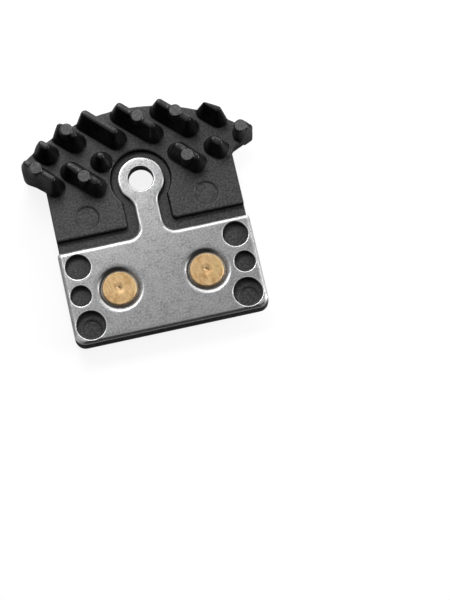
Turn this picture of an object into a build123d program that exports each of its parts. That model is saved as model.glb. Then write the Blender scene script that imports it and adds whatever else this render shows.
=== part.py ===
from build123d import *
import math
import os

# Bicycle disc brake pad with cooling fins, lying on its friction face.
# Millimetres, Z up, X across the pad, Y from the friction block towards the fins.
# Places in the plane are measured from the pin hole centre, which sits PIN_Y above the origin.

# Stack of layers, from the friction face up.
PIN_Y = 20.5
FRICTION_T = 2.2
BASE_T = 1.3
STEEL_T = 1.1
LAND_T = 1.1
FRONT_Z = FRICTION_T
SEAT_Z = FRONT_Z + BASE_T
STEEL_TOP_Z = SEAT_Z + STEEL_T
LAND_Z = SEAT_Z + LAND_T

# Steel back plate and its tab.
PIN_HOLE_R = 2.3
BODY_HALF_W = 18.0
SHOULDER_Y = -10.95
BODY_BOTTOM_Y = -28.9
SHOULDER_R = 0.7
BOTTOM_R = 2.0
TAB_R = 4.4
NECK_HALF_W = 2.25
NECK_TOP_R = 3.0
NECK_FOOT_R = 2.4
EDGE_BEVEL = 0.3
# Each side hole is how far it lies in from the side and down from the shoulder, and its radius.
SIDE_HOLES = ((3.25, 3.35, 2.3), (2.7, 8.85, 1.9), (3.4, 14.65, 2.65))

# Rivets and the recesses that take their heads.
RIVET_X = 8.15
RIVET_Y = -19.85
RIVET_HEAD_R = 3.2
RIVET_HEAD_T = 0.55
RIVET_HEAD_BEVEL = 0.2
RIVET_SHANK_R = 2.0
RIVET_FOOT_R = 2.7
RIVET_FOOT_T = 0.7
RIVET_FIT = 0.05
RECESS_R = 3.55
RECESS_DEPTH = 0.6
RECESS_BEVEL = 0.5
DIMPLE_R = 0.5
DIMPLE_DEPTH = 0.25

# Cast fin plate outline: one long arc over the top, an ear at each end.
PLATE_LIP = 0.3
PLATE_BOTTOM_Y = BODY_BOTTOM_Y - PLATE_LIP
SIDE_STEP = 0.4
PLATE_HALF_W = BODY_HALF_W - SIDE_STEP
STEP_DROP = 0.45
PLATE_STEP_Y = SHOULDER_Y - STEP_DROP
CROWN_X = -1.0
CROWN_Y = 14.15
TOP_ARC_R = 32.75
# Each ear ends EAR_X from the middle, leans out by EAR_LEAN_W over EAR_END_H, then drops to its root.
LEFT_EAR_X = 20.75
LEFT_EAR_LEAN_W = 0.6
LEFT_EAR_END_H = 3.0
LEFT_EAR_DROP = 2.4
LEFT_EAR_R = 1.7
RIGHT_EAR_X = 22.0
RIGHT_EAR_LEAN_W = 0.45
RIGHT_EAR_END_H = 0.7
RIGHT_EAR_DROP = 2.15
RIGHT_EAR_R = 0.5
EAR_ROOT_R = 1.2

# Raised land, set back from the shoulder and from the tab.
LAND_GAP = 2.1
NECK_GAP = 2.0
TAB_GAP = 1.2
LAND_BOTTOM_Y = SHOULDER_Y + LAND_GAP
OPENING_HALF_W = NECK_HALF_W + NECK_GAP
OPENING_R = TAB_R + TAB_GAP
LAND_CORNER_R = 0.8
LAND_BEVEL = 0.2
PIN_HOLE_BEVEL = 0.4

# Moulding marks on the cast plate: a sunk disc in each land, a round sink below each large side hole.
DISC_X = 11.2
DISC_Y = -5.4
DISC_R = 2.25
SINK_DROP = 0.6
SINK_R = 1.9
MARK_DEPTH = 0.2

# Cooling fins on slanting lines, in two rows, with pegs in some of their ridges.
# Line 0 is the middle one, and passes the pin hole at FIN_MIDDLE_OFFSET.
FIN_ANGLE = -45
FIN_MIDDLE_OFFSET = 3.78
FIN_PITCH = 4.63
FIN_BASE_W = 3.8
FIN_TOP_W = 1.1
UPPER_FIN_H = 5.2
LOWER_FIN_H = 4.2
PEG_R = 1.2
PEG_RISE = 0.3
# Each fin is its line, then where its foot starts and ends along that line.
UPPER_FINS = (
    (-3, -20.05, -10.5),
    (-2, -19.85, -14.9),
    (-1, -18.85, -12.0),
    (0, -16.55, -6.0),
    (1, -11.85, -0.9),
    (2, -6.05, 4.0),
    (3, 1.25, 7.6),
    (3, 9.35, 14.9),
)
# The lower row stands a little off those lines.
LOWER_ROW_OFFSET = -0.46
LOWER_FINS = (
    (-2, -13.4, -3.8),
    (-1, -9.8, -5.7),
    (1, 1.2, 9.1),
    (2, 6.2, 11.1),
)
# Each peg is its line, its place along that line and how far it stands off its row.
UPPER_PEGS = (
    (-3, -16.1, 0.0),
    (-1, -15.5, 0.0),
    (1, -6.05, 0.0),
    (2, -0.7, 0.0),
    (3, 11.0, -0.7),
)
LOWER_PEGS = ((-2, -8.0, -0.46), (1, 5.6, -0.7))

# Shallow ridges on the front, opposite the fin lines, by their lower ends.
# All of them start past the edge of the plate, and the last one ends past it.
RIDGE_H = 0.8
RIDGE_BASE_W = 2.4
RIDGE_TOP_W = 1.9
RIDGE_ENDS = (-9.9, -5.6, -6.5, -5.2, 8.0, 10.3, 20.0)
PAST_EDGE = 2 * BODY_HALF_W

# Small square lugs on the front, near the sides.
LUG_INSET = 1.3
LUG_RISE = 1.95
LUG_W = 2.0
LUG_L = 2.2
LUG_H = 0.8

# Friction block, with a crowned top and an arched, bevelled bottom.
BLOCK_INSET = 1.5
BLOCK_RISE = 1.0
BLOCK_H = 14.8
BLOCK_CROWN = 1.4
BLOCK_ARCH = 0.9
BLOCK_CORNER_R = 3.7
BEVEL_RUN = 2.1
BEVEL_H = 1.5
BLOCK_HALF_W = BODY_HALF_W - BLOCK_INSET
BLOCK_BOTTOM_Y = PLATE_BOTTOM_Y + BLOCK_RISE
BLOCK_TOP_Y = BLOCK_BOTTOM_Y + BLOCK_H


def at(z, x=0.0, y=0.0):
    """Place measured from the pin hole, at height z."""
    return Pos(x, PIN_Y + y, z)


def top_arc_y(x):
    """Height of the long top arc at x."""
    return CROWN_Y - TOP_ARC_R + math.sqrt(TOP_ARC_R**2 - (x - CROWN_X) ** 2)


def corners_near(sketch, points):
    """The sketch corner closest to each point."""
    return [min(sketch.vertices(), key=lambda v: math.dist((v.X, v.Y), p)) for p in points]


def box_sketch(half_w, low, high):
    """Rectangle centred across the pad, between two heights."""
    return Pos(0, (low + high) / 2) * Rectangle(2 * half_w, high - low)


def steel_outline():
    """Body with a round-headed tab standing on its shoulder."""
    body = box_sketch(BODY_HALF_W, BODY_BOTTOM_Y, SHOULDER_Y)
    neck = box_sketch(NECK_HALF_W, SHOULDER_Y, 0)
    sketch = body + neck + Circle(TAB_R)
    neck_top_y = -math.sqrt(TAB_R**2 - NECK_HALF_W**2)
    rounds = (
        (NECK_TOP_R, NECK_HALF_W, neck_top_y),
        (NECK_FOOT_R, NECK_HALF_W, SHOULDER_Y),
        (SHOULDER_R, BODY_HALF_W, SHOULDER_Y),
        (BOTTOM_R, BODY_HALF_W, BODY_BOTTOM_Y),
    )
    for radius, x, y in rounds:
        sketch = fillet(corners_near(sketch, ((x, y), (-x, y))), radius)
    return sketch


def side_place(side, inset, drop):
    """Place in from one side of the steel body and down from its shoulder."""
    return Pos(side * (BODY_HALF_W - inset), SHOULDER_Y - drop)


def bevelled_hole(radius, depth, bevel):
    """Cutter for a round hole going down from z = 0, with a bevelled mouth."""
    hole = extrude(Circle(radius), -depth)
    return hole + Pos(0, 0, -bevel / 2) * Cone(radius, radius + bevel, bevel)


def back_plate():
    """Stamped steel plate with bevelled edges, side holes and rivet recesses."""
    plate = extrude(steel_outline(), -STEEL_T)
    plate = chamfer(plate.faces().sort_by(Axis.Z)[-1].edges(), EDGE_BEVEL)
    plate -= bevelled_hole(PIN_HOLE_R, STEEL_T, EDGE_BEVEL)
    recess = bevelled_hole(RECESS_R, RECESS_DEPTH, RECESS_BEVEL)
    recess += extrude(Circle(RIVET_SHANK_R + RIVET_FIT), -STEEL_T)
    for side in (-1, 1):
        for inset, drop, radius in SIDE_HOLES:
            hole = bevelled_hole(radius, STEEL_T, EDGE_BEVEL)
            plate -= side_place(side, inset, drop) * hole
        plate -= Pos(side * RIVET_X, RIVET_Y) * recess
    return at(STEEL_TOP_Z) * plate


def ear_points(side, end_x, lean, end_h, drop):
    """Top, lower corner and root of the ear on one side."""
    top = (side * end_x, top_arc_y(side * end_x))
    corner = (side * (end_x + lean), top[1] - end_h)
    root = (side * PLATE_HALF_W, corner[1] - drop)
    return top, corner, root


def plate_outline():
    """Outline of the cast plate, seen from the fin side."""
    left = ear_points(-1, LEFT_EAR_X, LEFT_EAR_LEAN_W, LEFT_EAR_END_H, LEFT_EAR_DROP)
    right = ear_points(1, RIGHT_EAR_X, RIGHT_EAR_LEAN_W, RIGHT_EAR_END_H, RIGHT_EAR_DROP)
    bottom = ((-BODY_HALF_W, PLATE_BOTTOM_Y), (BODY_HALF_W, PLATE_BOTTOM_Y))
    sides = Polyline(
        *left,
        (-PLATE_HALF_W, PLATE_STEP_Y),
        (-BODY_HALF_W, PLATE_STEP_Y),
        *bottom,
        (BODY_HALF_W, PLATE_STEP_Y),
        (PLATE_HALF_W, PLATE_STEP_Y),
        *reversed(right),
    )
    sketch = make_face(sides + ThreePointArc(right[0], (CROWN_X, CROWN_Y), left[0]))
    rounds = (
        (LEFT_EAR_R, left[:2]),
        (RIGHT_EAR_R, right[:2]),
        (EAR_ROOT_R, (left[2], right[2])),
        (BOTTOM_R, bottom),
    )
    for radius, points in rounds:
        sketch = fillet(corners_near(sketch, points), radius)
    return sketch


def land():
    """Raised area of the plate, open below for the tab, bevelled along that opening."""
    sketch = plate_outline() & box_sketch(PAST_EDGE, LAND_BOTTOM_Y, PAST_EDGE)
    sketch -= box_sketch(OPENING_HALF_W, 2 * LAND_BOTTOM_Y, 0)
    sketch -= Circle(OPENING_R)
    inner = ((-OPENING_HALF_W, LAND_BOTTOM_Y), (OPENING_HALF_W, LAND_BOTTOM_Y))
    solid = extrude(fillet(corners_near(sketch, inner), LAND_CORNER_R), LAND_T)
    rim = solid.faces().sort_by(Axis.Z)[-1].edges()
    return chamfer([e for e in rim if faces_steel(e @ 0.5)], LAND_BEVEL)


def faces_steel(point):
    """Whether a point of the land's rim lies on the side towards the steel plate."""
    reach = OPENING_R + LAND_BEVEL
    beside_tab = abs(point.X) < reach and point.Y < reach
    return beside_tab or point.Y < LAND_BOTTOM_Y + LAND_BEVEL


def on_line(line, along, offset=0.0):
    """Place on a fin line, by distance along it and off it, turned to the fins' slant."""
    return Rot(0, 0, FIN_ANGLE) * Pos(along, FIN_MIDDLE_OFFSET + FIN_PITCH * line + offset)


def tapered_bar(start, end, foot_w, top_w, height):
    """Round-ended bar along X, drawn in all round from its foot to its top."""
    foot = SlotOverall(end - start, foot_w)
    top = SlotOverall(end - start - foot_w + top_w, top_w)
    return Pos((start + end) / 2, 0) * loft([foot, Pos(0, 0, height) * top], ruled=True)


def fin_row(fins, pegs, height, row_offset):
    """One row of fins and its pegs, standing on the plane z = 0."""
    row = []
    for line, start, end in fins:
        bar = tapered_bar(start, end, FIN_BASE_W, FIN_TOP_W, height)
        row.append(on_line(line, 0, row_offset) * bar)
    peg = extrude(Circle(PEG_R), height + PEG_RISE)
    for line, along, offset in pegs:
        row.append(on_line(line, along, row_offset + offset) * peg)
    return row


def front_ridges():
    """Shallow ridges and lugs hanging below the plane z = 0."""
    bars = []
    first_line = -(len(RIDGE_ENDS) // 2)
    for line, end in enumerate(RIDGE_ENDS, first_line):
        ridge = tapered_bar(-PAST_EDGE, end, RIDGE_BASE_W, RIDGE_TOP_W, -RIDGE_H)
        bars.append(on_line(line, 0) * ridge)
    lug = extrude(Rectangle(LUG_W, LUG_L), -LUG_H)
    x = PLATE_HALF_W - LUG_INSET
    return bars + [Pos(side * x, SHOULDER_Y + LUG_RISE) * lug for side in (-1, 1)]


def cast_base():
    """Flat base of the cast plate, with its pin hole bevelled on the front."""
    pin_hole = Rot(180, 0, 0) * bevelled_hole(PIN_HOLE_R, BASE_T, PIN_HOLE_BEVEL)
    return extrude(plate_outline(), BASE_T) - pin_hole


def marks():
    """Moulding marks sunk into the land and into the seat of the steel plate."""
    disc = extrude(Circle(DISC_R), -MARK_DEPTH)
    sink = Pos(0, -SINK_DROP, SEAT_Z) * extrude(Circle(SINK_R), -MARK_DEPTH)
    inset, drop, _ = SIDE_HOLES[-1]
    cuts = []
    for side in (-1, 1):
        cuts.append(Pos(side * DISC_X, DISC_Y, LAND_Z) * disc)
        cuts.append(side_place(side, inset, drop) * sink)
    return cuts


def fin_plate():
    """Cast plate: base, raised land, fins behind, ridges in front."""
    above = extrude(plate_outline(), UPPER_FIN_H + PEG_RISE)
    below = extrude(plate_outline(), -RIDGE_H)
    fins = fin_row(UPPER_FINS, UPPER_PEGS, UPPER_FIN_H, 0)
    fins += fin_row(LOWER_FINS, LOWER_PEGS, LOWER_FIN_H, LOWER_ROW_OFFSET)
    plate = Pos(0, 0, FRONT_Z) * cast_base() + Pos(0, 0, SEAT_Z) * land()
    for bar in fins:
        plate += Pos(0, 0, LAND_Z) * (bar & above)
    for bar in front_ridges():
        plate += Pos(0, 0, FRONT_Z) * (bar & below)
    for cut in marks():
        plate -= cut
    for side in (-1, 1):
        plate -= Pos(side * RIVET_X, RIVET_Y, FRONT_Z) * rivet_hole()
    return at(0) * plate


def rivet_hole():
    """Hole for a rivet in the cast plate, widened at the front for its foot."""
    shank = extrude(Circle(RIVET_SHANK_R + RIVET_FIT), BASE_T)
    return shank + rivet_foot(RIVET_FIT)


def rivet_foot(fit):
    """Conical foot of a rivet, grown by a fit."""
    foot = Cone(RIVET_FOOT_R + fit, RIVET_SHANK_R + fit, RIVET_FOOT_T)
    return Pos(0, 0, RIVET_FOOT_T / 2) * foot


def rivet(side):
    """Rivet with a bevelled, dimpled head and a foot flush with the cast plate's front."""
    head_z = STEEL_TOP_Z - RECESS_DEPTH - FRONT_Z
    body = extrude(Circle(RIVET_SHANK_R), head_z) + rivet_foot(0)
    head = extrude(Circle(RIVET_HEAD_R), RIVET_HEAD_T)
    head = chamfer(head.faces().sort_by(Axis.Z)[-1].edges(), RIVET_HEAD_BEVEL)
    dimple = Pos(0, 0, RIVET_HEAD_T - DIMPLE_DEPTH / 2) * Cone(0, DIMPLE_R, DIMPLE_DEPTH)
    body += Pos(0, 0, head_z) * (head - dimple)
    return at(FRONT_Z, side * RIVET_X, RIVET_Y) * body


def friction_block():
    """Sintered block with an arched lower edge bevelled towards the friction face."""
    top_end_y = BLOCK_TOP_Y - BLOCK_CROWN
    bottom_end_y = BLOCK_BOTTOM_Y - BLOCK_ARCH
    corners = (
        (-BLOCK_HALF_W, top_end_y),
        (BLOCK_HALF_W, top_end_y),
        (BLOCK_HALF_W, bottom_end_y),
        (-BLOCK_HALF_W, bottom_end_y),
    )
    top = ThreePointArc(corners[0], (0, BLOCK_TOP_Y), corners[1])
    bottom = ThreePointArc(corners[2], (0, BLOCK_BOTTOM_Y), corners[3])
    sides = Line(corners[1], corners[2]) + Line(corners[3], corners[0])
    sketch = make_face(top + bottom + sides)
    block = extrude(fillet(sketch.vertices(), BLOCK_CORNER_R), FRICTION_T)
    start_y = bottom_end_y + BEVEL_RUN
    profile = Polyline((start_y, 0), (bottom_end_y, BEVEL_H), (bottom_end_y, 0), close=True)
    wedge = extrude(Plane.YZ * make_face(profile), PAST_EDGE, both=True)
    return at(0) * (block - wedge)


os.makedirs("parts", exist_ok=True)
nodes = {
    "friction_block": friction_block(),
    "fin_plate": fin_plate(),
    "back_plate": back_plate(),
    "left_rivet": rivet(-1),
    "right_rivet": rivet(1),
}
for name, shape in nodes.items():
    export_step(shape, "parts/" + name + ".step")
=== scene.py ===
import math

import bmesh
import bpy
import numpy as np
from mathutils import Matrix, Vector


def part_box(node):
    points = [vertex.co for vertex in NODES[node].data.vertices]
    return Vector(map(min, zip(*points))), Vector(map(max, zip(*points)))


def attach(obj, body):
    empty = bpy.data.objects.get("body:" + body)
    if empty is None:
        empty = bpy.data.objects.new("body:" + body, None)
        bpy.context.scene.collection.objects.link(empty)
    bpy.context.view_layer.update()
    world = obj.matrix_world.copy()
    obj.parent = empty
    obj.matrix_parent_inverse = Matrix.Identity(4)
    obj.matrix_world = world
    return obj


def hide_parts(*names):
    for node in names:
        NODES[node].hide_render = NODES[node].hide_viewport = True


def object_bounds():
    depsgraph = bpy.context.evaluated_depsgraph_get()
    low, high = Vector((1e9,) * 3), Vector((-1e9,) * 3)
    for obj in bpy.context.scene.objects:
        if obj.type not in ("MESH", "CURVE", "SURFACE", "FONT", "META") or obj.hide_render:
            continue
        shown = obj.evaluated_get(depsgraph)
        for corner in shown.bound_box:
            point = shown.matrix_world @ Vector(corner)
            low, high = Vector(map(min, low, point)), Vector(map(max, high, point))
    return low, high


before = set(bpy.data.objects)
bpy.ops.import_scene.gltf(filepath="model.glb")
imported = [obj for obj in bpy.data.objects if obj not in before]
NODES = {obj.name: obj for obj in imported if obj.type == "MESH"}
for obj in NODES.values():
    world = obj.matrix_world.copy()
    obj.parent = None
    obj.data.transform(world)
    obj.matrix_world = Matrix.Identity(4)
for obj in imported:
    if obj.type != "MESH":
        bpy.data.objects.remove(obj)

CAD_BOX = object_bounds()
RIVETS = ("left_rivet", "right_rivet")
MM = 0.001

# Camera: turn, rise and reach about a target on the steel face, for a picture of 450 by 600.
CAMERA_AZIMUTH = -12.59
CAMERA_ELEVATION = 74.0
CAMERA_DISTANCE = 400 * MM
CAMERA_TARGET = (10.13 * MM, -5.76 * MM, 4.6 * MM)
CAMERA_CLIP = 10 * MM
LENS = 131.9
SENSOR = 36.0

# Floor, just under the friction face, which glows white towards the camera.
FLOOR_SIZE = 3.0
FLOOR_Z = -0.02 * MM
FLOOR_COLOUR = (0.12, 0.12, 0.12, 1)
FLOOR_ROUGHNESS = 0.9
FLOOR_GLOW = 0.87
# In mirrors the glow falls to a small share where the pad is near, by how open the floor is there.
CONTACT_REACH = 40 * MM
CONTACT_FADE = (0.9, 1.0)
CONTACT_SHARE = 0.06
# Strength of the surroundings as a light.
WORLD_LEVEL = 0.08

# Dark cards outside the picture: the two ends of each on the floor plan, its lower and its upper edge.
FLAGS = {
    "low_flag": ((-250 * MM, -450 * MM), (250 * MM, -450 * MM), 0, 220 * MM),
    "high_flag": ((-250 * MM, -450 * MM), (450 * MM, -200 * MM), 220 * MM, 700 * MM),
}
FLAG_COLOUR = (0.02, 0.02, 0.02, 1)

# Soft lights: place, width and height, power in watts. All of them face the middle of the pad.
LIT_PLACE = (0, 5 * MM, 5 * MM)
LIGHTS = {
    "key": ((-25 * MM, 100 * MM, 130 * MM), (80 * MM, 45 * MM), 0.18),
    "back": ((120 * MM, 330 * MM, 150 * MM), (400 * MM, 300 * MM), 1.6),
    "side": ((300 * MM, -30 * MM, 120 * MM), (200 * MM, 180 * MM), 1.2),
}

# Vertices nearer than this are joined before a piece gets its skin.
SEAM = 0.001 * MM
# Upright part of the normal from which a face of a solid counts as level.
LEVEL = 0.99
# Strength of each smoothing pass.
SMOOTHING = 0.5
# Name under which each vertex of a skin keeps its bend, for edge wear, painted edge highlights and painted
# shade in corners.
BEND = "bend"
# On a round edge, neighbours lie lower on average by their distance squared / (this * radius).
BEND_SHARE = 4

# Skin of the casting: soft edges all over, rounder ones on the fins, from the steel's top upwards.
STEEL_TOP_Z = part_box("back_plate")[1].z
CASTING_TOP_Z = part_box("fin_plate")[1].z
CASTING_VOXEL = 0.13 * MM
CASTING_PASSES = 3
CASTING_TRIANGLES = 190000
FIN_PASSES = 28
ROUNDING_RISE = 0.5 * MM
# Peg tops stand at two heights. A level face belongs to one if it lies within the band of its height.
PEG_STEP = 1.0 * MM
PEG_HEIGHTS = (CASTING_TOP_Z, CASTING_TOP_Z - PEG_STEP)
PEG_BAND = 0.05 * MM
# Pegs aren't rounded as the fins are, as far out from their middle and down from their top as this.
PEG_REACH = 1.3 * MM
PEG_DEPTH = 0.9 * MM
# Their tops are bare of the coating's sheen, within this of their height.
PEG_EDGE = 0.14 * MM
# The land's grain and paler colour are full up to the first height over the steel's top and gone at the
# second; above, the coat is darker, partly as painted shade.
LAND_GRAIN = (0.1 * MM, 0.6 * MM)

# Skin of the steel: its upper edges are softened a little, down to a depth, but for its open holes'.
STEEL_VOXEL = 0.13 * MM
STEEL_PASSES = 3
STEEL_TRIANGLES = 195000
SOFT_PASSES = 9
SOFT_DEPTH = 0.5 * MM
SOFT_FADE = 0.15 * MM
# Edges of the open holes are crisper: how far out from a hole's wall, and the bevel left there.
CRISP_REACH = 0.7 * MM
CRISP_BEVEL = 0.16 * MM
CAD_BEVEL = 0.3 * MM
# The steel's outline and its recesses roll over from the stamping, by a width and a depth.
# The outline's roll is narrower on the tab, from TAB_RISE above the lower edge.
# A recess begins at a gap round its rivet.
BODY_ROLL = (0.8 * MM, 0.4 * MM)
TAB_ROLL = (0.4 * MM, 0.25 * MM)
RECESS_ROLL = (1.0 * MM, 0.5 * MM)
RECESS_GAP = 0.35 * MM
TAB_RISE = 19.0 * MM
TAB_FADE = 1.5 * MM
# Painted shade lies on the steel's walls that face away from the fins, and less of it at the lower edge.
LEE = (0.29, -0.96, 0)
LOWER_EDGE_Y = CAD_BOX[0][1]
LOWER_EDGE = 1.5 * MM
LOWER_EDGE_SHARE = 0.3

# A shallow dent lies round the middle of each rivet's top.
DENT_RADIUS = 1.3 * MM
DENT_DEPTH = 0.12 * MM


def grey(level):
    """Colour without a hue."""
    return (level, level, level, 1)


# Colours of the casting: smooth coat, darker on fins and sides partly as painted shade, and land with a
# grain, dark to pale, the land's blots, rubbed edges, painted shade in corners and hollows, and bare peg
# tops.
COAT_AND_PAINTED_SHADE = (grey(0.002), grey(0.008))
LAND = (grey(0.006), grey(0.037))
LAND_BLOT = grey(0.035)
RUBBED = grey(0.05)
PAINTED_SHADE = grey(0.003)
BARE = (grey(0.042), grey(0.1))

# Colours of the steel: satin face, dark to pale, its clouds, paler edges (burnish and painted highlight),
# and painted shade on walls and in gaps.
SATIN = ((0.13, 0.13, 0.132, 1), (0.212, 0.212, 0.214, 1))
CLOUD = (0.24, 0.24, 0.242, 1)
BURNISH_AND_HIGHLIGHT = grey(0.5)
LEE_PAINTED_SHADE = grey(0.02)
GAP_PAINTED_SHADE = grey(0.03)

# Colours of the rivets: brass, dark to pale, its dull drift, brown blots and a painted highlight on the rim.
BRASS = ((0.245, 0.16, 0.076, 1), (0.345, 0.233, 0.116, 1))
BRASS_DRIFT = (0.28, 0.205, 0.09, 1)
BRASS_BLOT = (0.19, 0.1, 0.035, 1)
BRASS_RIM_HIGHLIGHT = (0.6, 0.53, 0.4, 1)

# Colours of the friction block: powder, dark to pale, grinding marks, pores, crumbled edges and flakes.
POWDER = ((0.16, 0.127, 0.093, 1), (0.33, 0.265, 0.2, 1))
GRINDING = (0.09, 0.073, 0.055, 1)
PORE = (0.02, 0.017, 0.014, 1)
CRUMBLED = (0.4, 0.34, 0.27, 1)
FLAKE = (0.7, 0.64, 0.55, 1)


class Shader:
    """A material's node tree, with short calls that add a node and link its inputs."""

    # Sockets of the mix node that are for colours.
    COLOUR_A = 6
    COLOUR_B = 7
    COLOUR_OUT = 2
    # Rays for each look into gaps and round edges.
    GAP_SAMPLES = 8
    EDGE_SAMPLES = 6
    # Value about which noise lies.
    MIDDLE = 0.5

    def __init__(self, name):
        self.material = bpy.data.materials.new(name)
        self.material.use_nodes = True
        self.tree = self.material.node_tree
        self.tree.nodes.clear()
        self.output = self.tree.nodes.new("ShaderNodeOutputMaterial")
        self.place = self.add("ShaderNodeTexCoord").outputs["Object"]

    def add(self, kind, **settings):
        """New node with its settings."""
        node = self.tree.nodes.new(kind)
        for key, value in settings.items():
            setattr(node, key, value)
        return node

    def feed(self, socket, value):
        """Links a socket, or sets it to a plain value."""
        if isinstance(value, bpy.types.NodeSocket):
            self.tree.links.new(value, socket)
        else:
            socket.default_value = value

    def noise(self, size, detail=2.0, roughness=0.5, place=None):
        """Noise whose features are about as large as the size in metres."""
        node = self.add("ShaderNodeTexNoise")
        self.feed(node.inputs["Vector"], place or self.place)
        self.feed(node.inputs["Scale"], 1 / size)
        self.feed(node.inputs["Detail"], detail)
        self.feed(node.inputs["Roughness"], roughness)
        return node.outputs["Fac"]

    def cells(self, size):
        """Distance from the middle of the nearest cell, for specks about as far apart as the size."""
        node = self.add("ShaderNodeTexVoronoi")
        self.feed(node.inputs["Vector"], self.place)
        self.feed(node.inputs["Scale"], 1 / size)
        return node.outputs["Distance"]

    def stretched(self, turn, stretch):
        """Object coordinates drawn out along one direction, turned about Z from X."""
        node = self.add("ShaderNodeMapping", vector_type="TEXTURE")
        self.feed(node.inputs["Vector"], self.place)
        self.feed(node.inputs["Rotation"], (0, 0, math.radians(turn)))
        self.feed(node.inputs["Scale"], (stretch, 1, 1))
        return node.outputs["Vector"]

    def ramp(self, value, low, high, start=0.0, end=1.0):
        """Goes smoothly from start to end as the value goes from low to high, and no further."""
        node = self.add("ShaderNodeMapRange", interpolation_type="SMOOTHSTEP")
        self.feed(node.inputs["Value"], value)
        self.feed(node.inputs["From Min"], low)
        self.feed(node.inputs["From Max"], high)
        self.feed(node.inputs["To Min"], start)
        self.feed(node.inputs["To Max"], end)
        return node.outputs["Result"]

    def spread(self, noise, start, end, half=0.2):
        """Number from start to end, as a noise goes from half below its middle to half above."""
        return self.ramp(noise, self.MIDDLE - half, self.MIDDLE + half, start, end)

    def maths(self, operation, *values):
        """Number made from others."""
        node = self.add("ShaderNodeMath", operation=operation)
        for socket, value in zip(node.inputs, values):
            self.feed(socket, value)
        return node.outputs["Value"]

    def vector_maths(self, operation, a, b):
        """Number made from two vectors."""
        node = self.add("ShaderNodeVectorMath", operation=operation)
        self.feed(node.inputs[0], a)
        self.feed(node.inputs[1], b)
        return node.outputs["Value"]

    def plus(self, value, mask, share):
        """Adds a share of a mask to a value."""
        return self.maths("ADD", value, self.maths("MULTIPLY", mask, share))

    def mix(self, factor, a, b):
        """Mixes two colours."""
        node = self.add("ShaderNodeMix", data_type="RGBA")
        self.feed(node.inputs["Factor"], factor)
        self.feed(node.inputs[self.COLOUR_A], a)
        self.feed(node.inputs[self.COLOUR_B], b)
        return node.outputs[self.COLOUR_OUT]

    def shades(self, noise, pair, half=0.15):
        """Colour from the first of a pair to the second, spread by a noise."""
        return self.mix(self.spread(noise, 0.0, 1.0, half), *pair)

    def over(self, colour, top, mask, share):
        """Lays a share of a colour over another where a mask is high."""
        return self.mix(self.maths("MULTIPLY", mask, share), colour, top)

    def geometry(self, output):
        """What the surface itself gives, such as its normal."""
        return self.add("ShaderNodeNewGeometry").outputs[output]

    def part_of(self, vector, axis):
        """X, Y or Z part of a place or a direction."""
        node = self.add("ShaderNodeSeparateXYZ")
        self.feed(node.inputs["Vector"], vector)
        return node.outputs[axis]

    def turned_to(self, direction, low, high):
        """Rises from 0 to 1 as the surface turns to a direction."""
        return self.ramp(self.vector_maths("DOT_PRODUCT", self.geometry("Normal"), direction), low, high)

    def distance(self, point):
        """Distance from a point."""
        return self.vector_maths("DISTANCE", self.place, point)

    def bend(self, low, high):
        """Rises from 0 to 1 as a skin's bend goes from low to high."""
        node = self.add("ShaderNodeAttribute", attribute_name=BEND)
        return self.ramp(node.outputs["Fac"], low, high)

    def open_sky(self, reach):
        """1 in the open, less in gaps and corners, counting what is nearer than the reach."""
        node = self.add("ShaderNodeAmbientOcclusion", samples=self.GAP_SAMPLES)
        self.feed(node.inputs["Distance"], reach)
        return node.outputs["AO"]

    def rounded_normal(self, radius):
        """Normal that runs smoothly over each sharp edge."""
        node = self.add("ShaderNodeBevel", samples=self.EDGE_SAMPLES)
        self.feed(node.inputs["Radius"], radius)
        return node.outputs["Normal"]

    def sharp_edges(self, normal, low, high):
        """Rises from 0 to 1 where the rounded normal leaves the flat one."""
        return self.ramp(self.vector_maths("DOT_PRODUCT", normal, self.geometry("True Normal")), high, low)

    def bump(self, height, depth, strength=1.0, normal=None):
        """Normal of a surface with a relief on it, where a height of 1 is the depth in metres."""
        node = self.add("ShaderNodeBump")
        self.feed(node.inputs["Height"], height)
        self.feed(node.inputs["Distance"], depth)
        self.feed(node.inputs["Strength"], strength)
        if normal:
            self.feed(node.inputs["Normal"], normal)
        return node.outputs["Normal"]

    def surface(self, **inputs):
        """Principled shader to the output, with its inputs by name."""
        node = self.add("ShaderNodeBsdfPrincipled")
        for key, value in inputs.items():
            self.feed(node.inputs[key.replace("_", " ")], value)
        self.tree.links.new(node.outputs["BSDF"], self.output.inputs["Surface"])
        return self.material


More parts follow.
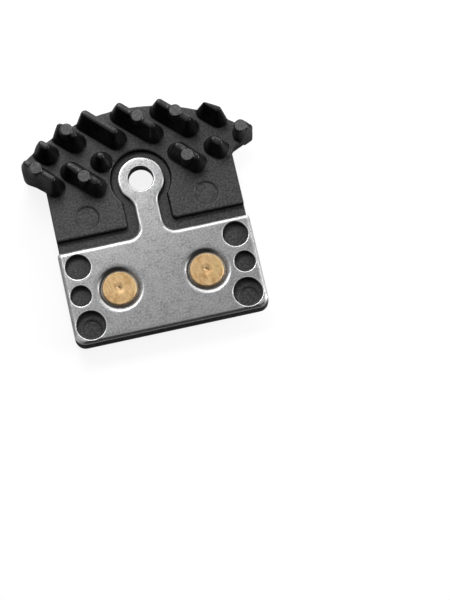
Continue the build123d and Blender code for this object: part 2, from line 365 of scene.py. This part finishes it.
def casting_material():
    """Black coating, smooth on the fins and sides and with a grain on the land, darker on fins and sides
    partly as painted shade, with painted shade in corners and hollows and bare peg tops.
    """
    s = Shader("casting")
    grain = s.noise(0.2 * MM, detail=3, roughness=0.6)
    speckle = s.noise(0.38 * MM, detail=3, roughness=0.6)
    mottle = s.noise(2.5 * MM, detail=4)
    rise = s.part_of(s.place, "Z")
    facing = s.part_of(s.geometry("Normal"), "Z")
    level = s.ramp(s.maths("ABSOLUTE", facing), 0.6, 0.9)
    full, gone = LAND_GRAIN
    grain_and_painted_light = s.maths("MULTIPLY", level, s.ramp(rise, STEEL_TOP_Z + gone, STEEL_TOP_Z + full))
    rubbed = s.bend(1.0, 3.0)
    # Painted shade: in the skin's corners, by their bend, and in hollows, by how open they are.
    corner_shade = s.bend(-0.6, -2.0)
    shaded = s.ramp(s.open_sky(2.0 * MM), 0.9, 0.5)
    tops = peg_tops(s, rise, facing)

    land = s.over(s.shades(speckle, LAND, half=0.1), LAND_BLOT, s.ramp(mottle, 0.5, 0.7), share=0.4)
    # Level land is paler and has a grain; fins and sides are darker, partly a smoother coat and partly
    # painted shade.
    colour = s.mix(grain_and_painted_light, s.shades(speckle, COAT_AND_PAINTED_SHADE), land)
    colour = s.over(colour, RUBBED, rubbed, share=0.06)
    # Painted shade in corners and hollows.
    colour = s.over(colour, PAINTED_SHADE, corner_shade, share=0.8)
    colour = s.over(colour, PAINTED_SHADE, shaded, share=0.5)
    colour = s.mix(tops, colour, s.shades(grain, BARE))

    roughness = s.plus(s.spread(mottle, 0.26, 0.34), grain_and_painted_light, share=0.16)
    roughness = s.plus(roughness, rubbed, share=-0.08)
    roughness = s.maths("MAXIMUM", roughness, tops)

    height = s.plus(grain, speckle, share=1.5)
    height = s.maths("MULTIPLY", height, s.ramp(grain_and_painted_light, 0.0, 1.0, start=0.3))
    normal = s.bump(height, depth=0.05 * MM, strength=0.55)
    return s.surface(Base_Color=colour, Roughness=roughness, Normal=normal, Specular_IOR_Level=0.2)


def peg_tops(s, rise, facing):
    """Mask of the flat tops of both rows of pegs."""
    rows = [s.maths("COMPARE", rise, height, PEG_EDGE) for height in PEG_HEIGHTS]
    return s.maths("MULTIPLY", s.ramp(facing, 0.85, 0.95), s.maths("MAXIMUM", *rows))


def steel_material():
    """Satin stamped steel: fine grain, faint clouds, edges paler partly as burnish and partly as painted
    highlight, painted shade on walls that face away from the fins, and painted shade in gaps, which are
    rougher there too.
    """
    s = Shader("steel")
    grain = s.noise(0.14 * MM, detail=3)
    speckle = s.noise(0.35 * MM, detail=2)
    clouds = s.noise(2.2 * MM, detail=3)
    # Convex edges are paler: partly burnish, partly painted highlight.
    burnish_and_highlight = s.bend(0.4, 1.4)
    # Narrow gaps get painted shade in their colour and are made rougher, as grime.
    gap_dirt_and_shade = s.ramp(s.open_sky(0.3 * MM), 0.6, 0.2, end=0.7)
    place_y = s.part_of(s.place, "Y")
    inside = s.ramp(place_y, LOWER_EDGE_Y, LOWER_EDGE_Y + LOWER_EDGE, start=LOWER_EDGE_SHARE)
    lee = s.maths("MULTIPLY", s.turned_to(LEE, 0.12, 0.5), inside)

    colour = s.over(s.shades(speckle, SATIN), CLOUD, s.ramp(clouds, 0.35, 0.65), share=0.35)
    colour = s.over(colour, BURNISH_AND_HIGHLIGHT, burnish_and_highlight, share=0.6)
    # Painted shade on walls that face away from the fins.
    colour = s.over(colour, LEE_PAINTED_SHADE, lee, share=0.85)
    colour = s.mix(gap_dirt_and_shade, colour, GAP_PAINTED_SHADE)

    roughness = s.plus(s.spread(grain, 0.28, 0.36), gap_dirt_and_shade, share=0.4)
    normal = s.bump(grain, depth=0.02 * MM, strength=0.4)
    return s.surface(Base_Color=colour, Metallic=0.9, Roughness=roughness, Normal=normal)


def rivet_material():
    """Dull brass, faintly brushed one way, with brown blots, a painted highlight on its rim and a shallow
    dent.
    """
    s = Shader("rivet")
    streaks = s.noise(0.2 * MM, detail=3, place=s.stretched(turn=-68, stretch=6.0))
    blots = s.noise(1.3 * MM, detail=3)
    drift = s.noise(3.0 * MM, detail=1)
    rounded = s.rounded_normal(0.15 * MM)
    rim = s.sharp_edges(rounded, 0.9, 0.99)
    from_middle = s.maths("MINIMUM", *(s.distance(top_middle(name)) for name in RIVETS))

    colour = s.over(s.shades(streaks, BRASS), BRASS_DRIFT, s.ramp(drift, 0.4, 0.65), share=0.5)
    colour = s.over(colour, BRASS_BLOT, s.ramp(blots, 0.5, 0.68), share=0.6)
    # Painted highlight along the rivet's rim.
    colour = s.over(colour, BRASS_RIM_HIGHLIGHT, rim, share=0.7)

    roughness = s.spread(streaks, 0.42, 0.55)
    dented = s.bump(s.ramp(from_middle, 0.0, DENT_RADIUS), DENT_DEPTH, normal=rounded)
    normal = s.bump(streaks, depth=0.012 * MM, strength=0.25, normal=dented)
    return s.surface(Base_Color=colour, Metallic=0.85, Roughness=roughness, Normal=normal)


def friction_material():
    """Sintered metal: tan powder with dark pores, bright flakes and slanting grinding marks."""
    s = Shader("friction")
    powder = s.noise(0.25 * MM, detail=4, roughness=0.65)
    grinding = s.noise(0.22 * MM, detail=3, place=s.stretched(turn=-45, stretch=14.0))
    marks = s.ramp(grinding, 0.5, 0.7)
    pores = s.ramp(s.noise(0.4 * MM, detail=2), 0.62, 0.7)
    rounded = s.rounded_normal(0.2 * MM)
    edges = s.sharp_edges(rounded, 0.85, 0.99)
    crumbled = s.maths("MULTIPLY", edges, s.ramp(powder, 0.4, 0.55))
    flakes = s.maths("MULTIPLY", s.ramp(s.cells(0.55 * MM), 0.2, 0.12), s.ramp(powder, 0.5, 0.6))

    colour = s.over(s.shades(powder, POWDER, half=0.2), GRINDING, marks, share=0.6)
    colour = s.mix(pores, colour, PORE)
    colour = s.mix(crumbled, colour, CRUMBLED)
    colour = s.mix(flakes, colour, FLAKE)

    roughness = s.spread(powder, 0.62, 0.8)
    normal = s.bump(s.maths("SUBTRACT", powder, marks), depth=0.06 * MM, strength=0.5, normal=rounded)
    return s.surface(Base_Color=colour, Metallic=0.2, Roughness=roughness, Normal=normal)


def top_middle(node):
    """Middle of the top of a CAD node's box."""
    low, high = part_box(node)
    return Vector(((low.x + high.x) / 2, (low.y + high.y) / 2, high.z))


def vertex_places(mesh):
    """Places of a mesh's vertices, one row for each."""
    places = np.empty(len(mesh.vertices) * 3)
    mesh.vertices.foreach_get("co", places)
    return places.reshape(-1, 3)


def peg_places(mesh):
    """Middle of each peg's flat top, found from the casting's level faces at the pegs' heights."""
    places = []
    for face in mesh.polygons:
        if face.normal.z < LEVEL or min(abs(face.center.z - z) for z in PEG_HEIGHTS) > PEG_BAND:
            continue
        for index in face.vertices:
            corner = mesh.vertices[index].co
            near = [group for group in places if (group[0] - corner).length < 2 * PEG_REACH]
            if near:
                near[0].append(corner)
            else:
                places.append([corner])
    return [sum(group, Vector()) / len(group) for group in places]


def fin_weights(places, pegs):
    """How strongly each point is rounded: 0 on the plate and the pegs, 1 on the fins."""
    weights = np.clip((places[:, 2] - STEEL_TOP_Z) / ROUNDING_RISE, 0, 1)
    for peg in pegs:
        away = np.hypot(places[:, 0] - peg.x, places[:, 1] - peg.y)
        on_peg = (away < PEG_REACH) & (places[:, 2] > peg.z - PEG_DEPTH)
        weights[on_peg] = 0
    return weights


def open_holes(loops):
    """Middle and radius of each round loop that holds no rivet."""
    holes = [(loop.mean(axis=0), np.ptp(loop[:, 0]) / 2) for loop in loops]
    rivets = [np.array(top_middle(name).xy) for name in RIVETS]
    return [hole for hole in holes if min(np.hypot(*(hole[0] - r)) for r in rivets) > hole[1]]


def from_holes(places, holes):
    """Distance of each place from the nearest hole's wall, in the plane."""
    return np.min([np.hypot(*(places[:, :2] - middle).T) - radius for middle, radius in holes], axis=0)


def soft_weights(places, holes):
    """How strongly each point of the steel is softened: 0 below its upper edges and round its holes."""
    weights = np.clip((places[:, 2] - STEEL_TOP_Z + SOFT_DEPTH) / SOFT_FADE, 0, 1)
    return np.where(from_holes(places, holes) < CRISP_REACH, 0, weights)


def rims_of(mesh):
    """Loops of corners round a plate's underside, its outline last."""
    work = bmesh.new()
    work.from_mesh(mesh)
    under = {face for face in work.faces if face.normal.z < -LEVEL}
    rim = {edge for face in under for edge in face.edges if len(under.intersection(edge.link_faces)) == 1}
    loops = []
    while rim:
        edge = rim.pop()
        start, corner = edge.verts
        loop = [start.co.xy]
        while corner != start:
            loop.append(corner.co.xy)
            edge = next(e for e in corner.link_edges if e in rim)
            rim.remove(edge)
            corner = edge.other_vert(corner)
        loops.append(np.array(loop))
    work.free()
    return sorted(loops, key=lambda loop: np.ptp(loop[:, 0]))


def distance_to(loop, places):
    """Distance of each place from the nearest side of a closed loop, in the plane."""
    nearest = np.full(len(places), np.inf)
    for start, end in zip(loop, np.roll(loop, -1, axis=0)):
        side = end - start
        along = np.clip((places - start) @ side / (side @ side), 0, 1)
        nearest = np.minimum(nearest, np.hypot(*(places - start - along[:, None] * side).T))
    return nearest


def rolled_height(away, width, depth):
    """Height of the steel at a distance from an edge that rolls over."""
    return STEEL_TOP_Z - depth * np.clip(1 - away / width, 0, 1) ** 2


def roll_over(piece, outline, holes):
    """Rolls the steel's outline and recesses over, and draws in the bevels of its open holes."""
    places = vertex_places(piece.data)
    flat = places[:, :2]
    lower_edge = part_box("back_plate")[0].y
    on_tab = np.clip((flat[:, 1] - lower_edge - TAB_RISE) / TAB_FADE, 0, 1)
    width, depth = (body + (tab - body) * on_tab for body, tab in zip(BODY_ROLL, TAB_ROLL))
    heights = np.minimum(places[:, 2], rolled_height(distance_to(outline, flat), width, depth))
    for name in RIVETS:
        low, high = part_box(name)
        middle = top_middle(name)
        recess_radius = (high.x - low.x) / 2 + RECESS_GAP
        away = np.hypot(flat[:, 0] - middle.x, flat[:, 1] - middle.y) - recess_radius
        heights = np.where(away > 0, np.minimum(heights, rolled_height(away, *RECESS_ROLL)), heights)
    away = from_holes(places, holes)
    bevelled = (away < CAD_BEVEL) & (places[:, 2] > STEEL_TOP_Z - CAD_BEVEL)
    crisp = STEEL_TOP_Z - np.clip(CRISP_BEVEL - away, 0, CRISP_BEVEL)
    places[:, 2] = np.where(bevelled, crisp, heights)
    piece.data.vertices.foreach_set("co", places.ravel())
    piece.data.update()


def new_object(name, data):
    """New object in the scene."""
    thing = bpy.data.objects.new(name, data)
    bpy.context.scene.collection.objects.link(thing)
    return thing


def apply_modifiers(piece):
    """Puts the result of a piece's modifiers into its own mesh."""
    bpy.context.view_layer.update()
    evaluated = piece.evaluated_get(bpy.context.evaluated_depsgraph_get())
    mesh = bpy.data.meshes.new_from_object(evaluated)
    piece.modifiers.clear()
    piece.data = mesh


def smooth(piece, passes, weights=None):
    """Smooths a piece, all over or by a weight for each vertex, in tenths."""
    modifier = piece.modifiers.new("smooth", "SMOOTH")
    modifier.factor = SMOOTHING
    modifier.iterations = passes
    if weights is None:
        return
    group = piece.vertex_groups.new(name="rounding")
    tenths = np.round(weights, 1)
    for weight in np.unique(tenths[tenths > 0]):
        group.add(np.flatnonzero(tenths == weight).tolist(), float(weight), "REPLACE")
    modifier.vertex_group = group.name


def welded_mesh(node):
    """Copy of a CAD node's mesh, joined along its seams."""
    mesh = NODES[node].data.copy()
    work = bmesh.new()
    work.from_mesh(mesh)
    bmesh.ops.remove_doubles(work, verts=work.verts, dist=SEAM)
    work.to_mesh(mesh)
    work.free()
    return mesh


def skinned(node, name, voxel):
    """New piece with a CAD node's form, as one even skin of small faces."""
    piece = new_object(name, welded_mesh(node))
    remesh = piece.modifiers.new("skin", "REMESH")
    remesh.mode = "VOXEL"
    remesh.voxel_size = voxel
    apply_modifiers(piece)
    return piece


def store_bend(mesh):
    """Keeps each vertex's bend, 1 / radius in mm: above 0 on edges and below 0 in corners."""
    places = vertex_places(mesh)
    normals = np.empty(places.size)
    mesh.vertices.foreach_get("normal", normals)
    normals = normals.reshape(-1, 3)
    ends = np.empty(len(mesh.edges) * 2, dtype=int)
    mesh.edges.foreach_get("vertices", ends)
    start, end = ends.reshape(-1, 2).T
    here = np.concatenate((start, end))
    there = np.concatenate((end, start))
    sides = places[here] - places[there]
    drops = np.bincount(here, (sides * normals[here]).sum(axis=1))
    squares = np.bincount(here, (sides ** 2).sum(axis=1))
    bends = BEND_SHARE * drops / squares * MM
    around = np.bincount(here, bends[there]) / np.bincount(here)
    mesh.attributes.new(BEND, "FLOAT", "POINT").data.foreach_set("value", (bends + around) / 2)


def finish_skin(piece, node, material, triangles):
    """Thins out a skin's flat stretches, shades it smoothly and lets it stand for its node."""
    # The skin's faces have four sides, so each counts as two triangles.
    before = 2 * len(piece.data.polygons)
    decimate = piece.modifiers.new("thin", "DECIMATE")
    decimate.ratio = min(1.0, triangles / before)
    apply_modifiers(piece)
    store_bend(piece.data)
    piece.data.shade_smooth()
    piece.data.materials.clear()
    piece.data.materials.append(material)
    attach(piece, "root")
    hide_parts(node)


def add_casting():
    """The fin plate as a casting: soft edges, round-crested fins and flat pegs."""
    pegs = peg_places(NODES["fin_plate"].data)
    piece = skinned("fin_plate", "cast_fin_plate", CASTING_VOXEL)
    smooth(piece, FIN_PASSES, fin_weights(vertex_places(piece.data), pegs))
    smooth(piece, CASTING_PASSES)
    finish_skin(piece, "fin_plate", casting_material(), CASTING_TRIANGLES)


def add_steel():
    """The back plate as a stamping, with its upper edges rolled over."""
    *inner, outline = rims_of(welded_mesh("back_plate"))
    holes = open_holes(inner)
    piece = skinned("back_plate", "stamped_back_plate", STEEL_VOXEL)
    roll_over(piece, outline, holes)
    smooth(piece, SOFT_PASSES, soft_weights(vertex_places(piece.data), holes))
    smooth(piece, STEEL_PASSES)
    finish_skin(piece, "back_plate", steel_material(), STEEL_TRIANGLES)


def dress_nodes():
    """Gives each CAD node that shows its material."""
    materials = dict.fromkeys(RIVETS, rivet_material())
    materials["friction_block"] = friction_material()
    for name, material in materials.items():
        slots = NODES[name].data.materials
        slots.clear()
        slots.append(material)


def add_sheet(name, corners, material):
    """Flat card of the stage."""
    mesh = bpy.data.meshes.new(name)
    mesh.from_pydata(corners, [], [(0, 1, 2, 3)])
    mesh.materials.append(material)
    sheet = new_object(name, mesh)
    return sheet


def floor_material():
    """Pale floor, white where it is seen, in mirrors too, but for the pad's close shadow there."""
    s = Shader("floor")
    path = s.add("ShaderNodeLightPath").outputs
    seen = s.maths("MAXIMUM", path["Is Camera Ray"], path["Is Transmission Ray"])
    contact = s.ramp(s.open_sky(CONTACT_REACH), *CONTACT_FADE, start=CONTACT_SHARE)
    seen = s.maths("MAXIMUM", seen, s.maths("MULTIPLY", path["Is Glossy Ray"], contact))
    glow = s.maths("MULTIPLY", seen, FLOOR_GLOW)
    return s.surface(
        Base_Color=FLOOR_COLOUR,
        Roughness=FLOOR_ROUGHNESS,
        Emission_Color=grey(1),
        Emission_Strength=glow,
    )


def add_floor():
    """Square floor under the pad."""
    half = FLOOR_SIZE / 2
    corners = [(x * half, y * half, FLOOR_Z) for x, y in ((-1, -1), (1, -1), (1, 1), (-1, 1))]
    add_sheet("floor", corners, floor_material())


def add_flags():
    """Dark cards on the near side, for the fronts of the fins and the far walls of the recesses."""
    material = Shader("flag").surface(Base_Color=FLAG_COLOUR, Roughness=1.0)
    for name, (start, end, low, high) in FLAGS.items():
        corners = [(*start, low), (*end, low), (*end, high), (*start, high)]
        flag = add_sheet(name, corners, material)
        flag.visible_camera = False


def add_world():
    """Even pale surroundings, white where they are seen."""
    world = bpy.data.worlds.new("studio")
    bpy.context.scene.world = world
    world.use_nodes = True
    tree = world.node_tree
    background = tree.nodes["Background"]
    background.inputs["Color"].default_value = grey(1)
    path = tree.nodes.new("ShaderNodeLightPath")
    seen = path.outputs["Is Camera Ray"]
    for name in ("Is Glossy Ray", "Is Transmission Ray"):
        node = tree.nodes.new("ShaderNodeMath")
        node.operation = "MAXIMUM"
        tree.links.new(seen, node.inputs[0])
        tree.links.new(path.outputs[name], node.inputs[1])
        seen = node.outputs["Value"]
    level = tree.nodes.new("ShaderNodeMapRange")
    tree.links.new(seen, level.inputs["Value"])
    level.inputs["To Min"].default_value = WORLD_LEVEL
    level.inputs["To Max"].default_value = 1.0
    tree.links.new(level.outputs["Result"], background.inputs["Strength"])


def add_lights():
    """Soft rectangular lights round the pad."""
    for name, (place, size, power) in LIGHTS.items():
        data = bpy.data.lights.new(name, "AREA")
        data.shape = "RECTANGLE"
        data.size, data.size_y = size
        data.energy = power
        light = new_object(name, data)
        light.location = place
        light.rotation_euler = (Vector(LIT_PLACE) - Vector(place)).to_track_quat("-Z", "Y").to_euler()


def add_camera():
    """Camera at the photograph's viewing angle."""
    azimuth = math.radians(CAMERA_AZIMUTH)
    elevation = math.radians(CAMERA_ELEVATION)
    back = Vector((
        math.sin(azimuth) * math.cos(elevation),
        -math.cos(azimuth) * math.cos(elevation),
        math.sin(elevation),
    ))
    data = bpy.data.cameras.new("camera")
    data.lens = LENS
    data.sensor_width = SENSOR
    data.sensor_fit = "AUTO"
    data.clip_start = CAMERA_CLIP
    camera = new_object("camera", data)
    camera.location = Vector(CAMERA_TARGET) + back * CAMERA_DISTANCE
    camera.rotation_euler = back.to_track_quat("Z", "Y").to_euler()
    bpy.context.scene.camera = camera


bpy.context.scene.view_settings.view_transform = "Standard"
dress_nodes()
add_casting()
add_steel()
add_floor()
add_flags()
add_world()
add_lights()
add_camera()
